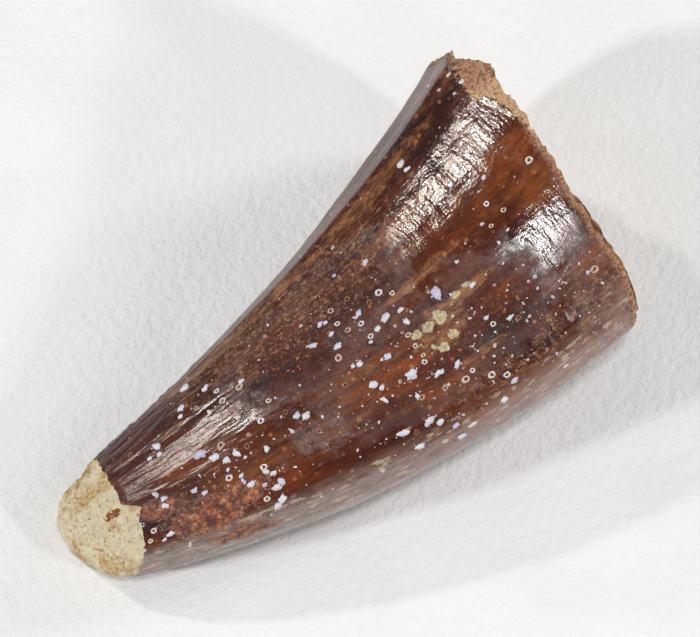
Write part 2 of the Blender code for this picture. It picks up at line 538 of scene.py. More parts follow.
    def stub_point(self, angle: float, share: float) -> Vector:
        """Find a point of the pale stub.

        Args:
            angle: Place round the stub, in radians.
            share: 0 at the edge of the glossy layer, 1 at the stub's end.

        Returns:
            The point, in millimetres.
        """
        start = self.layer_end(angle)
        x = start + (self.stub_end.x - start) * share
        point = self.crown_point(x, angle, self.layer_thickness)
        highest = self.stub_top_z - self.stub_slope * (self.stub_top_x - x)
        point.z = min(point.z, max(highest, self.stub_end.z))
        squareness = self.stub_squareness
        rounding = 1.0 - (1.0 - share ** squareness) ** (1.0 / squareness)
        point = point.lerp(self.stub_end, rounding)
        strength = self.stub_roughness * smooth_step(0.0, self.stub_smooth_share, share)
        point.x += strength * roughness_at(point, self.stub_grain, 5.0)
        point.z += strength * roughness_at(point, self.stub_grain, 6.0)
        beyond = point.dot(self.facet_facing) - self.facet_distance
        return point - self.facet_facing * max(0.0, beyond)

    def normal(self, x: float, angle: float) -> Vector:
        """Find which way the crown's surface faces.

        Args:
            x: Place along the crown.
            angle: Place round the crown, in radians.

        Returns:
            The direction, of length 1.
        """
        step = 0.05
        along = self.crown_point(x + step, angle) - self.crown_point(x - step, angle)
        around = self.crown_point(x, angle + step) - self.crown_point(x, angle - step)
        return around.cross(along).normalized()


@dataclass(frozen=True)
class View:
    """Where the tooth is looked at from, and how its picture plane is divided into steps."""

    azimuth: float = math.radians(-41.8)
    elevation: float = math.radians(68.0)
    distance: float = 0.2196
    target: Triple = (0.0030, 0.00168, 0.0050)
    lens: float = 200.0
    film: float = 36.0
    steps_across: int = 700
    steps_down: int = 637

    def back(self) -> Vector:
        """Return the direction from the target to the camera."""
        flat = math.cos(self.elevation)
        across, along = math.sin(self.azimuth) * flat, -math.cos(self.azimuth) * flat
        return Vector((across, along, math.sin(self.elevation)))

    def right(self) -> Vector:
        """Return the direction that points right in the picture."""
        return Vector((math.cos(self.azimuth), math.sin(self.azimuth), 0.0))

    def up(self) -> Vector:
        """Return the direction that points up in the picture."""
        return self.back().cross(self.right())

    def place(self) -> Vector:
        """Return where the camera stands."""
        return Vector(self.target) + self.back() * self.distance

    def ray(self, across: float, down: float) -> Vector:
        """Look through one step of the picture plane.

        Args:
            across: The step's place from the left edge.
            down: Its place from the top edge.

        Returns:
            The direction from the camera, of length 1.
        """
        scale = self.film / self.lens / self.steps_across
        rightwards = self.right() * ((across - 0.5 * self.steps_across) * scale)
        downwards = self.up() * ((down - 0.5 * self.steps_down) * scale)
        return (rightwards - downwards - self.back()).normalized()


def patches(seed: float, *rows: tuple[float, ...]) -> tuple[Patch, ...]:
    """Return a patch for each row. Their seeds count up from the first."""
    return tuple(Patch(seed + index, *row) for index, row in enumerate(rows))


# Areas where the enamel isn't whole. A row holds a middle, half sizes and, if soft, its softness.
SCARS = patches(
    21.0, (2.7, 110.0, 0.42, 0.32), (1.85, 110.5, 0.32, 0.26), (1.1, 110.0, 0.34, 0.25),
    (2.7, 119.5, 0.36, 0.24), (1.8, 121.5, 0.36, 0.26), (4.1, 107.0, 0.40, 0.16),
    (4.9, 106.5, 0.22, 0.12, 0.5), (1.4, 119.0, 0.20, 0.16, 0.5),
)
THIN = patches(
    31.0, (3.0, 92.5, 3.2, 0.20, 0.5), (4.6, 108.5, 2.6, 0.24, 0.5), (2.2, 115.0, 1.7, 0.9, 0.6),
) + patches(
    35.0, (3.2, 134.0, 2.0, 0.22), (-12.0, 75.0, 1.6, 0.22), (8.5, 152.0, 2.0, 0.16),
    (-4.0, 47.0, 6.5, 0.45, 0.6), (5.0, 49.0, 4.5, 0.55, 0.7),
)
RUST = patches(
    41.0, (-13.4, 144.0, 1.9, 1.7, 0.8), (-12.4, 172.0, 1.7, 1.0, 0.8),
    (-11.4, 138.0, 1.3, 0.9, 0.8), (-15.0, 120.0, 1.0, 0.8, 0.8), (-17.0, 103.0, 0.45, 0.45, 0.4),
)
CRUST = patches(
    51.0, (-13.4, 34.0, 3.2, 0.8, 0.8), (-9.4, 31.0, 2.4, 0.5, 0.8),
)
MATRIX = patches(
    61.0, (13.5, 56.0, 0.80, 1.1), (13.55, 69.0, 0.45, 1.1), (13.5, 80.0, 0.30, 0.9),
)
# Areas of another tint or another gloss, with soft edges.
VEIL = patches(
    71.0, (-1.5, 62.0, 6.5, 2.0, 0.6), (-6.5, 58.0, 4.5, 1.2, 0.6), (11.0, 150.0, 2.6, 2.0, 0.6),
    (4.5, 150.0, 4.0, 0.7, 0.6), (-14.6, 150.0, 1.4, 2.0, 0.6), (13.4, 50.0, 1.2, 1.2, 0.4),
)
GLOW = patches(
    81.0, (11.3, 94.0, 2.0, 1.6, 0.7), (-7.0, 124.0, 4.0, 1.0, 0.7), (-1.5, 112.0, 3.0, 0.9, 0.7),
    (4.5, 72.0, 3.5, 0.4, 0.7), (-16.8, 14.0, 1.3, 2.8, 0.8),
)
DULL = patches(
    91.0, (-4.2, 79.0, 3.2, 2.4, 0.6), (-0.4, 123.0, 5.0, 2.3, 0.6), (11.6, 146.0, 2.2, 2.0, 1.0),
    (0.2, 75.0, 3.0, 2.0, 0.6), (5.3, 121.0, 2.6, 2.0, 0.7),
)
# One for each weight that a Skin holds, in the same order.
WEIGHTS = (SCARS, THIN, RUST, CRUST, MATRIX, VEIL, GLOW, DULL)


class Skin(NamedTuple):
    """One point of the full surface, with what its finish reads there."""

    point: Vector
    grain: Vector
    from_tip: float
    from_root: float
    scar: float
    thin: float
    rust: float
    crust: float
    matrix: float
    veil: float
    glow: float
    dull: float
    hollow_side: float
    bulging_side: float


class Coat(NamedTuple):
    """How an area of the crown stands out: its name, height, lift, unevenness, grain and seed."""

    name: str
    height: float
    lift: float
    unevenness: float
    grain: float
    seed: float


@dataclass
class ToothSurface:
    """The whole surface of the tooth, closed and finely divided."""

    form: ToothForm
    points_round: int = 384
    crown_rings: int = 196
    stub_rings: int = 26
    break_rings: int = 26
    fold_height: float = 0.022
    fold_grain: Triple = (7.0, 0.55, 0.55)
    band_height: float = 0.03
    band_grain: Triple = (0.9, 3.5, 3.5)
    bands_from: float = 2.0
    bands_full_at: float = 14.0
    coats: tuple[Coat, ...] = (
        Coat("crust", 0.08, 0.6, 1.0, 0.45, 31.0), Coat("rust", 0.07, 0.0, 1.0, 0.5, 32.0),
        Coat("scar", -0.05, 1.0, 0.8, 0.4, 33.0), Coat("matrix", 0.10, 0.5, 1.0, 0.4, 34.0),
    )
    rim_reach: float = 0.7
    rim_wander: float = 0.25
    rim_wander_grain: float = 0.6
    rim_crumbs: float = 0.09
    rim_crumb_grain: float = 0.30
    rim_fall: float = 0.10
    chip_reach: float = 0.35
    chip_depth: float = 0.04
    chip_grain: float = 0.3
    hollow_fade: tuple[float, float] = (0.04, -0.35)
    bulge_fade: tuple[float, float] = (-0.26, 0.06)
    bulge_widening: float = 0.4
    bulge_widens_from: float = 8.0
    bulge_wide_at: float = 13.0
    stub_depth: float = 0.16
    stub_smooth_share: float = 0.15
    stub_lumps: float = 0.6
    stub_lump_grain: float = 0.55
    stub_pits: float = 1.4
    stub_pit_grain: float = 0.42
    stub_pits_above: float = 0.18
    break_edge_power: int = 6
    break_hollow_from: float = 0.30
    break_hollow_to: float = 0.80
    break_crumbs: tuple[tuple[float, ...], ...] = ((0.93, 0.20, 0.5, 42.0), (0.8, 0.45, 0.8, 43.0))
    sharp_angle: float = math.radians(60.0)
    offset: Vector = field(default_factory=Vector)
    tree: Optional[BVHTree] = None

    def build(self, finishes: Sequence[bpy.types.Material]) -> bpy.types.Object:
        """Build and dress the surface.

        Args:
            finishes: The finishes of the enamel, the pale core and the root's break, in order.

        Returns:
            The piece, in place.
        """
        stub = self._stub()
        crown = self._crown()
        inner, middle = self._break(crown[-1])
        rings = list(reversed(stub)) + crown + inner
        kinds = [1] * len(stub) + [0] * (len(crown) - 1) + [2] * (len(inner) + 1)
        end = stub[-1][0]._replace(point=self.form.stub_end.copy())
        skins = [skin for ring in rings for skin in ring] + [end, middle]
        data = self._mesh(skins, len(rings), kinds)
        self._store(data, skins)
        piece = add_piece(data, finishes)
        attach(piece, BODY)
        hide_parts(TOOTH_NODE)
        return piece

    def _skin(self, point: Vector, x: float, angle: float, start: float, end: float) -> Skin:
        """Describe one point for the finishes.

        Args:
            point: The point, in millimetres.
            x: Its place along the crown.
            angle: Its place round the crown.
            start: Where the glossy layer ends near the tip, at this angle.
            end: Where the root is broken, at this angle.

        Returns:
            The point and all that is stored there.
        """
        grain = Vector((x, GRAIN_RADIUS * math.cos(angle), GRAIN_RADIUS * math.sin(angle)))
        weights = [max(patch.weight(x, angle, point) for patch in kind) for kind in WEIGHTS]
        return Skin(point, grain, x - start, end - x, *weights, *self._sides(x, angle))

    def _sides(self, x: float, angle: float) -> tuple[float, float]:
        """Say how far a place lies on the steep faces beyond the two cutting edges.

        Args:
            x: The place along the crown.
            angle: The place round the crown, in radians.

        Returns:
            0 to 1 for the hollow side, and 0 to 1 for the bulging side.
        """
        top = 0.5 * math.pi
        turn = angle_between(angle, top)
        hollow = angle_between(self.form.hollow_edge_angle, top)
        bulge = angle_between(self.form.bulging_edge_angle, top)
        wider = self.bulge_widening * smooth_step(self.bulge_widens_from, self.bulge_wide_at, x)
        return (
            smooth_step(hollow + self.hollow_fade[0], hollow + self.hollow_fade[1], turn),
            smooth_step(bulge + self.bulge_fade[0] - wider, bulge + self.bulge_fade[1], turn),
        )

    def _fine_relief(self, skin: Skin) -> float:
        """Work out the height of the fine folds, growth bands and broken areas.

        Args:
            skin: The point.

        Returns:
            The height there, in millimetres.
        """
        whole = 1.0 - max(skin.crust, skin.rust, skin.matrix)
        folds = noise_at(skin.grain, self.fold_grain)
        bands = noise_at(skin.grain, self.band_grain)
        bands *= smooth_step(self.bands_from, self.bands_full_at, skin.from_tip)
        height = (self.fold_height * folds + self.band_height * bands) * whole
        for coat in self.coats:
            uneven = coat.lift + coat.unevenness * roughness_at(skin.point, coat.grain, coat.seed)
            height += coat.height * getattr(skin, coat.name) * uneven
        wander = self.rim_wander * roughness_at(skin.point, self.rim_wander_grain, 35.0)
        crumbling = smooth_step(self.rim_reach, 0.0, skin.from_root + wander)
        crumbs = self.rim_crumbs * crumbling * roughness_at(skin.point, self.rim_crumb_grain, 36.0)
        height += crumbs - self.rim_fall * crumbling ** 2
        chipped = self.chip_depth * smooth_step(self.chip_reach, 0.0, skin.from_tip)
        return height - chipped * (1.0 + noise.noise(skin.point / self.chip_grain))

    def _crown(self) -> list[list[Skin]]:
        """Shape the crown.

        Returns:
            Its rings, from the end of the glossy layer to the broken rim.
        """
        angles = turns(self.points_round)
        ends = [(self.form.layer_end(angle), self.form.root_end(angle)) for angle in angles]
        rings = []
        for index in range(self.crown_rings):
            share = index / (self.crown_rings - 1)
            ring = []
            for angle, (start, end) in zip(angles, ends):
                x = start + (end - start) * share
                skin = self._skin(self.form.crown_point(x, angle), x, angle, start, end)
                outwards = (skin.point - self.form.middle(x)).normalized()
                ring.append(skin._replace(point=skin.point + outwards * self._fine_relief(skin)))
            rings.append(ring)
        return rings

    def _stub(self) -> list[list[Skin]]:
        """Shape the pale stub.

        Returns:
            Its rings, from the glossy layer's edge to the stub's end.
        """
        rings = []
        for index in range(self.stub_rings):
            share = math.sin(0.5 * math.pi * index / self.stub_rings)
            strength = self.stub_depth * smooth_step(0.0, self.stub_smooth_share, share)
            ring = []
            for angle in turns(self.points_round):
                start = self.form.layer_end(angle)
                point = self.form.stub_point(angle, share)
                inwards = (self.form.middle(point.x) - point).normalized()
                pits = noise.noise(point / self.stub_pit_grain) - self.stub_pits_above
                depth = self.stub_lumps * roughness_at(point, self.stub_lump_grain, 41.0)
                depth = strength * (depth + self.stub_pits * max(0.0, pits))
                end = self.form.root_break_x
                ring.append(self._skin(point + inwards * depth, point.x, angle, start, end))
            rings.append(ring)
        return rings

    def _break(self, rim: list[Skin]) -> tuple[list[list[Skin]], Skin]:
        """Shape the broken root face.

        Args:
            rim: The last ring of the crown.

        Returns:
            The rings from the rim inwards, and the middle point.
        """
        middle = sum((skin.point for skin in rim), Vector()) / len(rim)
        form = self.form
        rings = []
        for index in range(1, self.break_rings):
            reach = 1.0 - index / self.break_rings
            outer = smooth_step(self.break_hollow_from, self.break_hollow_to, reach)
            ring = []
            for skin in rim:
                place = middle.lerp(skin.point, reach)
                place.x = middle.x + (skin.point.x - middle.x) * reach ** self.break_edge_power
                lumps = form.break_roughness * roughness_at(place, form.break_grain, 8.0)
                for full_at, height, grain, seed in self.break_crumbs:
                    crumbs = height * smooth_step(1.0, full_at, reach)
                    lumps += crumbs * roughness_at(place, grain, seed)
                place.x += min(lumps, form.most_proud) - form.break_hollow * (1.0 - outer)
                ring.append(skin._replace(point=place, from_root=-(1.0 - reach)))
            rings.append(ring)
        centre = middle - Vector((form.break_hollow, 0.0, 0.0))
        return rings, rim[0]._replace(point=centre, from_root=-1.0)

    def _mesh(self, skins: Sequence[Skin], ring_count: int, kinds: Sequence[int]) -> bpy.types.Mesh:
        """Span the points with faces.

        Args:
            skins: All points, ring by ring, then the stub's end and the break's middle.
            ring_count: How many rings there are.
            kinds: Which finish each band between two rings takes.

        Returns:
            The closed mesh, placed in the tooth's box.
        """
        low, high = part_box(TOOTH_NODE)
        places = np.array([skin.point for skin in skins])
        middle = 0.5 * (places.min(axis=0) + places.max(axis=0))
        self.offset = Vector(0.5 * (low + high)) - Vector(middle) * MM
        self.offset.z = 0.0
        points = [skin.point * MM + self.offset for skin in skins]
        for point in points:
            point.z = max(point.z, 0.0)
        count = self.points_round
        last = (ring_count - 1) * count
        faces = []
        slots = []
        for ring in range(ring_count - 1):
            here, there = ring * count, (ring + 1) * count
            for index in range(count):
                after = (index + 1) % count
                faces.append((here + index, there + index, there + after, here + after))
                slots.append(kinds[ring])
        for index in range(count):
            after = (index + 1) % count
            faces.append((index, after, len(skins) - 2))
            faces.append((last + after, last + index, len(skins) - 1))
            slots.extend((kinds[0], kinds[-1]))
        self.tree = BVHTree.FromPolygons(points, faces)
        data = bpy.data.meshes.new("tooth_surface")
        data.from_pydata(points, [], faces)
        data.polygons.foreach_set("material_index", slots)
        data.shade_smooth()
        data.set_sharp_from_angle(angle=self.sharp_angle)
        return data

    @staticmethod
    def _store(data: bpy.types.Mesh, skins: Sequence[Skin]) -> None:
        """Store at each point what the finishes read.

        Args:
            data: The mesh.
            skins: Its points, in order.
        """
        grain = data.attributes.new("grain", "FLOAT_VECTOR", "POINT")
        grain.data.foreach_set("vector", np.array([skin.grain for skin in skins], "f").ravel())
        for name in Skin._fields[2:]:
            stored = data.attributes.new(name, "FLOAT", "POINT")
            stored.data.foreach_set("value", np.array([getattr(skin, name) for skin in skins], "f"))


# ---- chalk


class Mark(Enum):
    """The shapes of the small chalky growths."""

    BLOB = "blob"
    RING = "ring"
    STREAK = "streak"


class Spot(NamedTuple):
    """One chalky growth: its place across and down the picture plane, its half size and shape.

    The place and the half size are in steps of the view. The lean is the direction of its length,
    in degrees from the right.
    """

    across: float
    down: float
    size: float
    mark: Mark = Mark.BLOB
    lean: float = 40.0


class Seat(NamedTuple):
    """Where a growth sits: the middle of its foot, and its directions along, across and up."""

    centre: Vector
    along: Vector
    across: Vector
    up: Vector


class Cluster(NamedTuple):
    """A scatter of growths: its middle, its spreads, their number and their usual half size."""

    x: float
    angle: float
    spread_x: float
    spread_angle: float
    count: int
    size: float


BLOB, RING, STREAK = Mark
# The growths placed one by one. A row ends with the shape and lean where they differ.
LARGE_SPOTS = tuple(Spot(*row) for row in (
    (448.6, 75, 2.3), (461.5, 82, 2.8), (439.4, 90, 1.8), (454.5, 93.6, 1.8), (428.8, 86, 1.7),
    (401, 164.5, 4.2, BLOB, 60), (407.5, 169, 3, STREAK, 20), (484, 177, 2.8, BLOB, 60),
    (529, 160, 4.2, RING), (486.5, 203.7, 3.2, RING), (503.5, 209.8, 3, RING), (482.4, 224, 2),
    (491, 226, 2.6, RING), (507.8, 229.6, 1.9), (533.7, 221, 2.2), (594.7, 269.3, 4.4, RING),
    (588, 272, 2.2), (457, 262, 2.2), (472.6, 285, 3.2), (436.7, 293, 6, BLOB, -60), (365.5, 261.7, 2.8),
    (334, 276, 2.2), (378.7, 292.5, 4, RING), (392, 293, 3, RING), (400.8, 310, 3.4, STREAK, 45),
    (406.5, 322, 3.6, BLOB, -50), (408, 335, 3.2, RING), (385.5, 318, 5, STREAK, 55),
    (378, 329, 3.6, BLOB, 50), (370.7, 336, 3.2, RING), (371, 342, 2.4), (359, 314, 3.8, BLOB, 70),
    (361, 323.5, 3.4, RING), (330.5, 311, 3.6, RING), (320, 325, 3, BLOB, 70), (325.5, 323, 2.4),
    (337.2, 323.8, 3, RING), (347.6, 330, 3.4, RING), (331.5, 334.3, 2.8), (313.5, 345.8, 3.6, STREAK, 10),
    (337.7, 346.8, 4), (338.4, 358, 4.2, RING), (360, 363.7, 3.4, BLOB, 40), (353, 366, 2.3, BLOB, 80),
    (387.8, 356.6, 3.8), (382, 359.5, 1.8), (411, 374.7, 6.3, BLOB, 25), (373.2, 385, 4.8),
    (382, 387.6, 3.2, BLOB, 70), (384.5, 400, 3.4, STREAK, -25), (415.4, 346, 3, RING),
    (423.2, 355, 2.6, RING), (424.5, 362, 3, RING), (457.2, 364.4, 3.6, STREAK, 55),
    (438.5, 373, 4.6, STREAK, 35), (466, 379, 4.4, RING), (472.6, 370.3, 2.8, RING),
    (491.7, 374.7, 4, RING), (507, 374.7, 3.8, RING), (514, 380, 3.6), (493, 324, 3.2, RING),
    (510.3, 317.5, 3.2), (486, 318, 2.6), (296.8, 415.8, 3.8), (306, 416, 4.4), (445.5, 388, 3.4, RING),
    (422, 397.4, 3.4, RING), (417.5, 396, 3, STREAK, -70), (504, 399.6, 3.6), (428.6, 421.6, 5, STREAK, 35),
    (440.4, 421.6, 3.8, BLOB, 30), (456, 425.3, 3.4, STREAK, 35), (461.6, 435.6, 4, STREAK, 30),
    (403, 432.6, 4.6, STREAK, 10), (472.6, 423.8, 3.4, STREAK, 40), (445.5, 441, 3, RING),
    (420.6, 445.8, 4, STREAK, 30), (181.2, 409, 3.8, BLOB, 50), (180.4, 417, 2.6), (196, 408, 2.8, RING),
    (209.5, 412.7, 2.8, BLOB, -60), (222.3, 400.7, 3.8, RING), (239, 387, 4.2, RING), (241.5, 381, 2.8),
    (205.5, 388.8, 3.4, BLOB, 80), (216.5, 391, 3, RING), (185.6, 388, 4.6, STREAK, 50), (238, 417.8, 2.6),
    (261, 420.7, 3.4, RING), (268.5, 400.7, 3, RING), (157, 447, 4.2, BLOB, -40), (160, 454.5, 3),
    (149.7, 459, 2.6), (200, 455, 5.4, BLOB, 20), (215, 458, 4.8, BLOB, 30), (226, 460.5, 3.8),
    (220.7, 445.4, 4.2, RING), (237.5, 454, 4.2, STREAK, -20), (245.5, 457.5, 1.8),
    (267, 449, 3.2, BLOB, -60), (263.7, 467, 3.8, RING), (266, 471.5, 3.2, BLOB, 10), (274, 472.5, 3.6),
    (227.8, 470, 2), (229, 478, 3.8, RING), (241.4, 475.7, 2.6), (243.5, 481, 2.8, STREAK, -60),
    (251.8, 483.7, 4.2, STREAK, 35), (265.3, 484.5, 2.6), (281.3, 481.5, 3.8, BLOB, -60),
    (277, 487, 4.2, BLOB, 30), (194.3, 490.8, 3.4, BLOB, 20), (204.7, 493, 3), (156, 494.8, 3.6, BLOB, -40),
    (164, 499, 3.2), (164.8, 506, 3.4, BLOB, 10), (282, 499, 4.6, BLOB, 50), (278, 506, 4, BLOB, 50),
    (267, 499, 3.4, RING), (170.4, 534, 3.2, STREAK, 30), (164.8, 539.5, 2.4, STREAK, 35),
    (150.5, 541, 2.8, RING), (153.7, 530.7, 3.4, RING),
))
# Where the many smaller ones are scattered.
CLUSTERS = tuple(Cluster(*row) for row in (
    (-2.0, 108.0, 3.6, 24.0, 70, 0.055), (-10.5, 112.0, 2.6, 30.0, 70, 0.055),
    (2.0, 138.0, 3.8, 16.0, 110, 0.06), (7.5, 128.0, 3.0, 22.0, 70, 0.06),
    (8.0, 80.0, 4.0, 30.0, 30, 0.045), (-4.0, 64.0, 4.0, 16.0, 30, 0.055),
    (-1.0, 250.0, 9.0, 50.0, 60, 0.12),
))


@dataclass
class ChalkSpots:
    """The white growths on the enamel, joined into one piece."""

    form: ToothForm
    view: View
    surface: "ToothSurface"
    seed: int = 7
    sides: int = 16
    large: tuple[Spot, ...] = LARGE_SPOTS
    clusters: tuple[Cluster, ...] = CLUSTERS
    size_spread: float = 0.35
    chances: Triple = (6.0, 3.0, 1.0)
    least_from_tip: float = 0.5
    least_from_root: float = 0.6
    lowest: float = 1.0
    widest_shift: float = 90.0
    wander_step: float = 1.4
    blob_stretch: float = 1.45
    streak_stretch: float = 1.9
    dome_height: float = 0.40
    dome_profile: tuple[tuple[float, float], ...] = (
        (1.0, -1.2), (0.98, 0.35), (0.78, 0.85), (0.56, 0.60),
    )
    dome_middle: float = 0.5
    dome_radius: float = 0.86
    dome_wander: float = 0.60
    fine_wander: float = 0.35
    ring_corners: int = 6
    ring_squash: float = 0.85
    ring_radius: float = 0.72
    ring_wander: float = 0.30
    ring_thickness: float = 0.27
    ring_unevenness: float = 0.22
    ring_height: float = 0.7
    least_blob_tint: float = 0.3
    most_ring_tint: float = 0.45
    inner_tint: float = 0.25
    mesh: Optional[bmesh.types.BMesh] = None
    tint: Optional[bmesh.types.BMLayerItem] = None
    chance: Optional[random.Random] = None

    def build(self, finish: bpy.types.Material) -> bpy.types.Object:
        """Build and dress the growths.

        Args:
            finish: The chalk's finish.

        Returns:
            The piece, in place.
        """
        self.mesh = bmesh.new()
        self.tint = self.mesh.verts.layers.float.new("tint")
        self.chance = random.Random(self.seed)
        seats = [(self._seen(spot), spot.size * self._step(), spot.mark) for spot in self.large]
        for seat, size, mark in seats + self._scattered():
            if seat is not None:
                self._add(seat, size, mark)
        bmesh.ops.recalc_face_normals(self.mesh, faces=self.mesh.faces)
        data = bpy.data.meshes.new("chalk_spots")
        self.mesh.to_mesh(data)
        self.mesh.free()
        data.shade_smooth()
        piece = add_piece(data, (finish,))
        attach(piece, BODY)
        return piece

    def _step(self) -> float:
        """Return the length of one step of the view at the tooth, in millimetres."""
        view = self.view
        return view.distance * view.film / view.lens / view.steps_across / MM

    def _seen(self, spot: Spot) -> Optional[Seat]:
        """Find the seat of a growth from its place in the picture plane.

        Args:
            spot: The growth.

        Returns:
            Its seat on the surface, or None where it would miss the tooth.
        """
        view = self.view
        ray = view.ray(spot.across, spot.down)
        place, up, _, _ = self.surface.tree.ray_cast(view.place(), ray)
        if place is None:
            return None
        lean = math.radians(spot.lean)
        along = view.right() * math.cos(lean) + view.up() * math.sin(lean)
        along = (along - up * along.dot(up)).normalized()
        return Seat(place / MM, along, up.cross(along), up)

    def _scattered(self) -> list[tuple[Seat, float, Mark]]:
        """Scatter the smaller growths.

        Returns:
            The seat, half size and shape of each.
        """
        found = []
        chance = self.chance
        for cluster in self.clusters:
            for _ in range(cluster.count):
                x = chance.gauss(cluster.x, cluster.spread_x)
                turn = math.radians(chance.gauss(cluster.angle, cluster.spread_angle))
                size = cluster.size * chance.lognormvariate(0.0, self.size_spread)
                mark = chance.choices(list(Mark), self.chances)[0]
                spin = chance.uniform(0.0, math.tau)
                if self._fits(x, turn):
                    up = self.form.normal(x, turn)
                    along = up.orthogonal().normalized()
                    along.rotate(Matrix.Rotation(spin, 3, up))
                    centre = self.form.crown_point(x, turn) + self.surface.offset / MM
                    found.append((Seat(centre, along, up.cross(along), up), size, mark))
        return found

    def _fits(self, x: float, turn: float) -> bool:
        """Say whether a growth would sit on whole enamel, clear of the ground.

        Args:
            x: Its place along the crown.
            turn: Its place round the crown, in radians.

        Returns:
            True where it would.
        """
        start = self.form.layer_end(turn) + self.least_from_tip
        end = self.form.root_end(turn) - self.least_from_root
        return start < x < end and self.form.crown_point(x, turn).z > self.lowest

    def _add(self, seat: Seat, size: float, mark: Mark) -> None:
        """Add one growth.

        Args:
            seat: Where it sits.
            size: Its half size, in millimetres.
            mark: Its shape.
        """
        shifts = [self.chance.uniform(0.0, self.widest_shift) for _ in range(2)]
        phase = Vector((*shifts, 0.0))
        before = len(self.mesh.verts)
        if mark is Mark.RING:
            self._add_ring(seat, size, phase)
        else:
            stretch = self.streak_stretch if mark is Mark.STREAK else self.blob_stretch
            self._add_blob(seat, size, stretch, phase)
        shade = self.chance.random()
        if mark is Mark.RING:
            shade, inner = self.most_ring_tint * shade, math.inf
        else:
            shade = self.least_blob_tint + (1.0 - self.least_blob_tint) * shade
            inner = (len(self.dome_profile) - 1) * self.sides
        self.mesh.verts.ensure_lookup_table()
        for index, vertex in enumerate(self.mesh.verts[before:]):
            vertex[self.tint] = shade if index < inner else self.inner_tint * shade

    def _add_blob(self, seat: Seat, size: float, stretch: float, phase: Vector) -> None:
        """Add a low dome with a wandering outline.

        Args:
            seat: Where it sits.
            size: Its half size, in millimetres.
            stretch: How much longer it is along than across.
            phase: Which part of the pattern its outline follows.
        """
        along = seat.along * math.sqrt(stretch)
        across = seat.across / math.sqrt(stretch)
        height = self.dome_height * size
        rings = []
        for reach, level in self.dome_profile:
            ring = []
            for turn in turns(self.sides):
                outwards = self.wander_step * Vector((math.cos(turn), math.sin(turn), 0.0))
                wander = noise.noise(phase + outwards)
                wander += self.fine_wander * noise.noise(phase + 2.0 * outwards)
                radius = size * reach * (self.dome_radius + self.dome_wander * wander)
                foot = seat.centre + along * (radius * math.cos(turn))
                foot += across * (radius * math.sin(turn)) + seat.up * (height * level)
                ring.append(self.mesh.verts.new(foot * MM))
            rings.append(ring)
        for first, second in zip(rings, rings[1:]):
            self._bridge(first, second)
        inmost = rings[-1]
        top = self.mesh.verts.new((seat.centre + seat.up * (self.dome_middle * height)) * MM)
        for here, after in zip(inmost, inmost[1:] + inmost[:1]):
            self.mesh.faces.new((here, after, top))
        self.mesh.faces.new(rings[0])

    def _add_ring(self, seat: Seat, size: float, phase: Vector) -> None:
        """Add a low ring with an open middle.

        Args:
            seat: Where it sits.
            size: Its half size, in millimetres.
            phase: Which part of the pattern its outline follows.
        """
        loops = []
        for turn in turns(self.sides):
            outwards = seat.along * math.cos(turn)
            outwards += seat.across * (self.ring_squash * math.sin(turn))
            place = self.wander_step * Vector((math.cos(turn), math.sin(turn), 0.0))
            radius = self.ring_radius + self.ring_wander * noise.noise(phase + place)
            middle = seat.centre + outwards * (size * radius)
            uneven = self.ring_unevenness * noise.noise(phase - 2.0 * outwards)
            thick = size * (self.ring_thickness + uneven)
            loop = []
            for lean in turns(self.ring_corners):
                point = middle + outwards * (thick * math.cos(lean))
                point += seat.up * (self.ring_height * thick * math.sin(lean))
                loop.append(self.mesh.verts.new(point * MM))
            loops.append(loop)
        for first, second in zip(loops, loops[1:] + loops[:1]):
            self._bridge(first, second)

    def _bridge(self, first: list, second: list) -> None:
        """Join two closed loops of points by a band of faces."""
        for corners in zip(first, first[1:] + first[:1], second[1:] + second[:1], second):
            self.mesh.faces.new(corners)


# ---- finishes


class EnamelKit(NodeKit):
    """The enamel's kit, with the patterns that its colour, gloss and relief share."""

    def __init__(self, name: str) -> None:
        """Start the material and make its shared patterns.

        Args:
            name: The material's name.
        """
        super().__init__(name)
        self.grain = self.attribute("grain", "Vector")
        self.here = self.place()
        self.sand = self.noise(self.here, 5.0, 3.0, 0.7)
        self.mottle = self.noise(self.grain.moved(0.0, 50.0, 0.0), (0.9, 1.8, 1.8), 4.0, 0.66)
        self.dashes = self.noise(self.grain.moved(80.0, 0.0, 0.0), (1.3, 8.0, 8.0), 3.0, 0.65)
        self.fine = self.noise(self.here.moved(3.0, 8.0, 1.0), 7.0, 2.0, 0.6)
        self.ragged = self.sand * 1.1 - 0.55

    def area(self, name: str, start: float, end: float) -> Field:
        """Return where patches of that name lie, with edges that the sandy grains make ragged."""
        return (self.attribute(name) + self.ragged).rise(start, end)


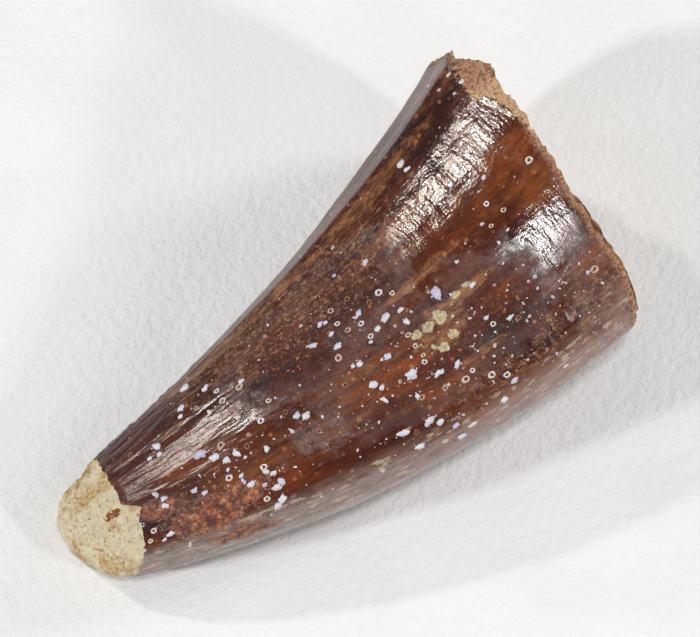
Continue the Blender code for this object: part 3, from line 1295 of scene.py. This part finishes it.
@dataclass(frozen=True)
class EnamelFinish:
    """Glossy mineralised enamel: streaked red-brown, finely ridged, worn to tan in places."""

    dark: Colour = paint(46, 15, 6)
    red_brown: Colour = paint(75, 27, 9)
    brown: Colour = paint(91, 43, 15)
    amber: Colour = paint(126, 55, 10)
    tan: Colour = paint(158, 108, 70)
    pinkish: Colour = paint(130, 82, 62)
    orange: Colour = paint(158, 80, 34)
    rust_red: Colour = paint(92, 34, 12)
    rust_pale: Colour = paint(192, 140, 98)
    cream: Colour = paint(206, 190, 148)
    crust: Colour = paint(156, 142, 118)
    matrix: Colour = paint(198, 162, 108)
    matrix_pink: Colour = paint(182, 140, 116)
    rim: Colour = paint(164, 116, 88)
    rim_brown: Colour = paint(122, 72, 46)
    rim_pale: Colour = paint(196, 160, 132)
    rim_yellow: Colour = paint(176, 138, 80)
    glowing: Colour = paint(134, 76, 34)
    veil_dark: Colour = paint(75, 43, 30)
    veil_pale: Colour = paint(124, 88, 70)
    grain_pink: Colour = paint(172, 130, 112)
    side_brown: Colour = paint(80, 46, 24)
    # The bulging side's paints: its own pink-tan near the root with painted sheen in it, and a painted grey
    # sheen towards the tip.
    pink_and_sheen: Colour = paint(146, 112, 98)
    painted_sheen_grey: Colour = paint(146, 130, 122)
    fleck: Colour = paint(190, 170, 150)

    polish: float = 0.07
    mottle_roughness: float = 0.07
    sand_roughness: float = 0.05
    dull_roughness: float = 0.42
    tip_roughness: float = 0.14
    broken_roughness: float = 0.72
    hollow_side_roughness: float = 0.36
    filament_height: float = 0.120
    filament_fall: float = 0.105
    scratch_height: float = 0.003
    scratch_growth: float = 0.013
    break_growth: float = 0.032
    sand_height: float = 0.008
    dash_height: float = 0.002
    fine_height: float = 0.004
    broken_height: float = 0.09
    refraction: float = 1.6
    shine: float = 0.55

    def material(self) -> bpy.types.Material:
        """Mix the finish.

        Returns:
            The material, ready for the crown.
        """
        kit = EnamelKit(ENAMEL_SLOT)
        colour = self._specked(kit, self._ground(kit), (7.0, 3.0, 0.0), 1.5)
        colour = self._specked(kit, colour, (1.0, 9.0, 5.0), 2.9)
        colour, dull = self._worn(kit, colour)
        matt = kit.attribute("dull") * (1.15 + kit.fine.rise(0.66, 0.52))
        tipward = kit.attribute("from_tip").rise(11.0, 4.0)
        roughness = self.polish + kit.mottle * self.mottle_roughness
        roughness += kit.sand * self.sand_roughness + matt * self.dull_roughness
        roughness = (roughness + tipward * self.tip_roughness).at_least(dull * self.broken_roughness)
        hollow_side = kit.attribute("hollow_side") * self.hollow_side_roughness
        return kit.finish({
            "Base Color": colour,
            "Roughness": roughness.at_least(hollow_side),
            "Normal": kit.relief(self._height(kit, dull)),
            "IOR": self.refraction,
            "Specular IOR Level": self.shine,
        })

    def _ground(self, kit: EnamelKit) -> Field:
        """Colour the whole enamel: red-brown streaks with darker and greyer zones, and a painted grey sheen
        on the steep bulging side.

        Args:
            kit: The material's kit.

        Returns:
            The colour.
        """
        sand, mottle, dashes = kit.sand, kit.mottle, kit.dashes
        veil, glow = kit.attribute("veil"), kit.attribute("glow")
        more_veiled = 0.14 + 0.66 * veil
        hollow, bulging = kit.attribute("hollow_side"), kit.attribute("bulging_side")
        broad = kit.noise(kit.grain, (0.16, 0.42, 0.42), 3.0, 0.55)
        streaks = kit.noise(kit.grain.moved(40.0, 0.0, 0.0), (0.26, 1.7, 1.7), 3.0, 0.6)
        grains = kit.noise(kit.grain.moved(60.0, 3.0, 0.0), (2.4, 4.2, 4.2), 3.0, 0.7)
        flecks = kit.noise(kit.grain.moved(30.0, 7.0, 0.0), (1.1, 2.6, 2.6), 3.0, 0.65)
        grey = kit.blend(self.veil_dark, self.veil_pale, sand.rise(0.40, 0.62))
        dusty = mottle.rise(0.50, 0.68) * kit.attribute("from_root").rise(7.0, 0.5)
        rootward = kit.attribute("from_tip").rise(4.0, 20.0)
        # Painted grey sheen for the steep bulging side: greyer towards the tip, pinker towards the root.
        side = kit.blend(self.painted_sheen_grey, self.pink_and_sheen, rootward)
        colour = kit.ramp(
            broad + streaks * 0.5 + mottle * 0.25 - 0.40 + glow * 0.10,
            (0.30, self.dark), (0.46, self.red_brown), (0.60, self.brown), (0.76, self.amber),
        )
        return kit.layered(
            colour,
            (self.glowing, glow * streaks.rise(0.36, 0.60) * 0.5),
            (grey, veil * (0.08 + mottle.rise(0.42, 0.60) * 0.52)),
            (self.dark, dashes.rise(0.52, 0.64) * (0.35 + 0.35 * veil)),
            (self.tan, dashes.rise(0.42, 0.33) * more_veiled),
            (self.dark, sand.rise(0.44, 0.32) * 0.45),
            (self.tan, sand.rise(0.58, 0.72) * more_veiled),
            (self.grain_pink, grains.rise(0.55, 0.66) * veil * 0.6),
            (self.pinkish, dusty * 0.5),
            (self.side_brown, hollow * (0.30 + mottle.rise(0.4, 0.6) * 0.5)),
            # The painted sheen laid over the bulging side.
            (side, bulging * (0.50 + mottle.rise(0.36, 0.58) * 0.42)),
            (self.fleck, flecks.rise(0.55, 0.64) * bulging.rise(0.02, 0.5) * 0.7),
        )

    def _worn(self, kit: EnamelKit, colour: Field) -> tuple[Field, Field]:
        """Add the thin, scarred, rusty and crusted areas, the crumbled rim and the sediment.

        Args:
            kit: The material's kit.
            colour: The colour that they lie on.

        Returns:
            The colour with them, and how dull the surface is there, from 0 to 1.
        """
        sand, mottle, from_root = kit.sand, kit.mottle, kit.attribute("from_root")
        thin = mottle.rise(0.42, 0.62) * 0.40 + kit.dashes.rise(0.50, 0.38) * 0.35
        thin = kit.area("thin", 0.35, 0.80) * (0.10 + thin)
        scarred = kit.area("scar", 0.35, 0.70)
        scar_colour = kit.blend(self.crust, self.cream, sand.rise(0.40, 0.56))
        rusty = kit.area("rust", 0.25, 0.85)
        rust_colour = kit.ramp(
            kit.noise(kit.here, 2.6, 4.0, 0.75),
            (0.36, self.dark), (0.45, self.rust_red), (0.54, self.orange), (0.64, self.rust_pale),
        )
        crust = kit.attribute("crust")
        crusty = (crust * 0.9 + (mottle * 3.4 - 1.7) + kit.ragged).rise(0.50, 0.90)
        crusty = crusty * 0.7 * crust.rise(0.0, 0.3)
        crust_colour = kit.blend(self.crust, self.side_brown, sand.rise(0.52, 0.40))
        rim = (from_root + sand * 1.3 - 0.65).rise(0.56, 0.24)
        rim_colour = kit.ramp(
            sand * 0.9 + mottle * 0.1,
            (0.36, self.dark), (0.43, self.rim_brown), (0.51, self.rim), (0.62, self.rim_pale),
        )
        outermost = (from_root + sand * 0.5 - 0.25).rise(0.20, 0.02)
        rim_colour = kit.blend(rim_colour, self.rim_yellow, outermost * 0.4)
        filled = kit.area("matrix", 0.25, 0.6)
        yellow_fill = kit.ramp(
            mottle * 0.25 + sand * 0.75,
            (0.38, self.rim_brown), (0.46, self.matrix_pink), (0.55, self.matrix), (0.64, self.cream),
        )
        pink_fill = kit.ramp(
            sand, (0.38, self.rim_brown), (0.50, self.rim), (0.60, self.matrix_pink)
        )
        fill_colour = kit.blend(yellow_fill, pink_fill, kit.attribute("veil"))
        colour = kit.layered(
            colour, (self.tan, thin), (scar_colour, scarred * 0.9), (rust_colour, rusty * 0.8),
            (crust_colour, crusty), (rim_colour, rim * 0.92), (fill_colour, filled),
        )
        return colour, rim.at_least(filled).at_least(crusty).at_least(scarred).at_least(rusty * 0.75)

    def _height(self, kit: EnamelKit, dull: Field) -> Field:
        """Work out the finest relief, in millimetres.

        Args:
            kit: The material's kit.
            dull: Where the surface is broken or crusted.

        Returns:
            The height.
        """
        rootward = kit.attribute("from_tip").rise(5.0, 15.0)
        filaments = kit.noise(kit.grain.moved(5.0, 0.0, 9.0), (0.30, 1.15, 1.15), 2.5, 0.6)
        scratches = kit.noise(kit.grain.moved(9.0, 0.0, 5.0), (1.6, 4.6, 4.6), 3.0, 0.65)
        breaks = kit.noise(kit.grain.moved(0.0, 11.0, 0.0), (2.9, 1.1, 1.1), 3.0, 0.6)
        height = filaments * (self.filament_height - rootward * self.filament_fall)
        height += scratches * (self.scratch_height + rootward * self.scratch_growth)
        height += breaks * rootward * self.break_growth + kit.sand * self.sand_height
        height += kit.dashes * self.dash_height + kit.fine * self.fine_height
        return height + kit.sand * dull * self.broken_height

    def _specked(self, kit: EnamelKit, colour: Field, shift: Triple, density: float) -> Field:
        """Add small pale dots and small rings with dark middles.

        Args:
            kit: The material's kit.
            colour: The colour that they lie on.
            shift: Which part of the pattern is used.
            density: How many points there are to a millimetre.

        Returns:
            The colour with the dots and rings.
        """
        place = kit.here.moved(*shift)
        distance, chance = kit.cells(place, density)
        distance = distance * (0.55 + kit.noise(place, 6.0, 1.0) * 0.9)
        dots = distance.rise(0.20, 0.12) * chance.rise(0.80, 0.82)
        rings = distance.rise(0.27, 0.20) * distance.rise(0.10, 0.16) * chance.rise(0.13, 0.11)
        middles = distance.rise(0.15, 0.09) * chance.rise(0.20, 0.18)
        marks = (dots * 0.8).at_least(rings * 0.7)
        return kit.layered(colour, (self.tan, marks), (self.dark, middles * 0.8))


@dataclass(frozen=True)
class CoreFinish:
    """Pale porous core: sandy cream with ochre stains, dark specks and a red-brown fleck."""

    cream: Colour = paint(222, 208, 174)
    grey_green: Colour = paint(208, 198, 166)
    ochre: Colour = paint(184, 152, 92)
    stain: Colour = paint(156, 122, 66)
    tan: Colour = paint(194, 160, 122)
    pale: Colour = paint(228, 222, 194)
    speck: Colour = paint(98, 80, 60)
    fleck: Colour = paint(134, 66, 34)

    def material(self) -> bpy.types.Material:
        """Mix the finish.

        Returns:
            The material, ready for the stub.
        """
        kit = NodeKit("pale_core")
        place = kit.place()
        grit = kit.noise(place.moved(9.0, 0.0, 0.0), 4.5, 4.0, 0.7)
        patched = kit.noise(place.moved(0.0, 6.0, 0.0), 2.1, 4.0, 0.7)
        stained = (kit.attribute("glow") + grit - 0.5).rise(0.25, 0.70)
        distance, chance = kit.cells(place, 2.2)
        specks = distance.rise(0.17, 0.09) * chance.rise(0.55, 0.60)
        colour = kit.ramp(
            kit.noise(place, 0.6, 4.0, 0.55),
            (0.36, self.ochre), (0.43, self.tan), (0.50, self.cream), (0.60, self.grey_green),
        )
        colour = kit.layered(
            colour, (self.stain, stained * 0.8), (self.tan, patched.rise(0.46, 0.36) * 0.4),
            (self.pale, patched.rise(0.52, 0.64) * 0.7), (self.cream, grit.rise(0.46, 0.58) * 0.5),
            (self.speck, specks * 0.8), (self.speck, grit.rise(0.44, 0.33) * 0.6),
            (self.fleck, kit.attribute("rust").rise(0.35, 0.6) * grit.rise(0.60, 0.50)),
        )
        return kit.finish({
            "Base Color": colour,
            "Roughness": 0.75 + grit * 0.15,
            "Normal": kit.relief(grit * 0.16 + patched * 0.12 - specks * 0.05),
            "Specular IOR Level": 0.3,
        })


@dataclass(frozen=True)
class RootBreakFinish:
    """The crumbled root end: tan and orange crumbs round yellow sediment."""

    sediment: Colour = paint(206, 170, 112)
    pale: Colour = paint(218, 196, 152)
    orange: Colour = paint(178, 112, 66)
    brown: Colour = paint(112, 74, 52)
    enamel: Colour = paint(84, 44, 28)

    def material(self) -> bpy.types.Material:
        """Mix the finish.

        Returns:
            The material, ready for the broken face.
        """
        kit = NodeKit("root_break")
        place, from_root = kit.place(), kit.attribute("from_root")
        clouds = kit.noise(place, 0.9, 5.0, 0.75)
        grit = kit.noise(place.moved(4.0, 0.0, 0.0), 3.4, 4.0, 0.75)
        filling = kit.ramp(
            clouds * 0.55 + grit * 0.45,
            (0.33, self.brown), (0.41, self.orange), (0.49, self.sediment), (0.62, self.pale),
        )
        wall = kit.ramp(grit, (0.36, self.brown), (0.50, self.orange), (0.66, self.sediment))
        outer = (from_root + clouds * 0.5 - 0.25).rise(-0.34, -0.22)
        outermost = (from_root + grit * 0.05).rise(-0.045, -0.015)
        return kit.finish({
            "Base Color": kit.layered(filling, (wall, outer), (self.enamel, outermost * 0.8)),
            "Roughness": 0.70 + grit * 0.2,
            "Normal": kit.relief(grit * 0.34 + clouds * 0.30),
            "Specular IOR Level": 0.3,
        })


@dataclass(frozen=True)
class ChalkFinish:
    """Dry white chalk with a faint lavender tint."""

    white: Colour = paint(226, 224, 232)
    lavender: Colour = paint(198, 194, 216)
    cream: Colour = paint(220, 206, 182)
    tan: Colour = paint(184, 146, 120)

    def material(self) -> bpy.types.Material:
        """Mix the finish.

        Returns:
            The material, ready for the growths.
        """
        kit = NodeKit("chalk")
        grit = kit.noise(kit.place(), 9.0, 2.0, 0.6)
        colour = kit.ramp(
            kit.attribute("tint"), (0.05, self.tan), (0.22, self.cream), (0.45, self.white),
            (0.70, self.white), (1.0, self.lavender),
        )
        return kit.finish({
            "Base Color": kit.blend(colour, self.lavender, grit.rise(0.55, 0.4) * 0.4),
            "Roughness": 0.55 + grit * 0.2,
            "Normal": kit.relief(grit * 0.05),
        })


@dataclass(frozen=True)
class FloorFinish:
    """Plain pale board with a faint pebbled texture."""

    white: Colour = (0.86, 0.862, 0.865, 1.0)
    shade: Colour = (0.835, 0.838, 0.84, 1.0)

    def material(self) -> bpy.types.Material:
        """Mix the finish.

        Returns:
            The material, ready for the floor.
        """
        kit = NodeKit("pale_board")
        pebbles = kit.noise(kit.place(), 1.7, 3.0, 0.6)
        clouds = kit.noise(kit.place(), 0.12, 2.0)
        return kit.finish({
            "Base Color": kit.blend(self.white, self.shade, clouds.rise(0.4, 0.6)),
            "Roughness": 0.9,
            "Normal": kit.relief(pebbles * 0.12),
            "Specular IOR Level": 0.2,
        })


# ---- studio


class Lamp(NamedTuple):
    """A soft lamp: where it stands as seen from the tooth, its apparent size, share and colour."""

    name: str
    direction: Triple
    width: float
    share: float
    colour: Triple = (1.0, 1.0, 1.0)


@dataclass(frozen=True)
class Studio:
    """The floor, the lamps and the camera."""

    view: View
    floor_size: float = 1.6
    lamp_distance: float = 0.45
    brightness: float = 1.14
    surroundings: float = 0.20
    nearest: float = 0.005
    lamps: tuple[Lamp, ...] = (
        Lamp("hollow_side", (-0.22, 0.68, 0.70), 0.060, 0.125, (1.0, 0.95, 0.88)),
        Lamp("overhead", (-0.13, -0.21, 0.97), 0.130, 0.26),
        Lamp("root_side", (0.84, -0.28, 0.47), 0.25, 0.12),
        Lamp("bulging_side", (0.28, -0.83, 0.48), 0.12, 0.11),
        Lamp("tip_side", (-0.83, 0.32, 0.46), 0.09, 0.17),
    )

    def build(self, finish: bpy.types.Material) -> None:
        """Set up everything round the tooth.

        Args:
            finish: The floor's finish.
        """
        self._floor(finish)
        for lamp in self.lamps:
            self._lamp(lamp)
        self._surroundings()
        self._camera()
        bpy.context.scene.view_settings.view_transform = "Standard"

    def _floor(self, finish: bpy.types.Material) -> None:
        """Lay the floor.

        Args:
            finish: Its finish.
        """
        half = 0.5 * self.floor_size
        data = bpy.data.meshes.new("floor")
        corners = [(-half, -half, 0.0), (half, -half, 0.0), (half, half, 0.0), (-half, half, 0.0)]
        data.from_pydata(corners, [], [(0, 1, 2, 3)])
        floor = add_piece(data, (finish,))

    def _lamp(self, lamp: Lamp) -> None:
        """Hang one lamp.

        Args:
            lamp: Its name, direction, size and share of the light on the floor.
        """
        direction = Vector(lamp.direction).normalized()
        light = bpy.data.lights.new(lamp.name, "AREA")
        light.shape = "DISK"
        light.size = lamp.width * self.lamp_distance
        light.color = lamp.colour
        power = self.brightness * lamp.share * (math.pi * self.lamp_distance) ** 2
        light.energy = power / direction.z
        thing = add_object(light)
        thing.location = Vector(self.view.target) + direction * self.lamp_distance
        thing.rotation_euler = direction.to_track_quat("Z", "Y").to_euler()

    def _surroundings(self) -> None:
        """Give the room its dim, even light."""
        world = bpy.data.worlds.new("room")
        world.use_nodes = True
        background = world.node_tree.nodes["Background"]
        background.inputs["Color"].default_value = (1.0, 1.0, 1.0, 1.0)
        background.inputs["Strength"].default_value = self.surroundings
        bpy.context.scene.world = world

    def _camera(self) -> None:
        """Place the camera where the view is taken from."""
        camera = add_object(bpy.data.cameras.new("camera"))
        camera.data.lens = self.view.lens
        camera.data.sensor_width = self.view.film
        camera.data.clip_start = self.nearest
        camera.location = self.view.place()
        camera.rotation_euler = self.view.back().to_track_quat("Z", "Y").to_euler()
        bpy.context.scene.camera = camera


def main() -> None:
    """Build the tooth and what it is seen in."""
    logging.basicConfig(level=logging.INFO, format="%(name)s: %(message)s")
    form = ToothForm()
    view = View()
    surface = ToothSurface(form)
    surface.build((
        EnamelFinish().material(), CoreFinish().material(), RootBreakFinish().material(),
    ))
    ChalkSpots(form, view, surface).build(ChalkFinish().material())
    Studio(view).build(FloorFinish().material())


if __name__ == "__main__":
    main()
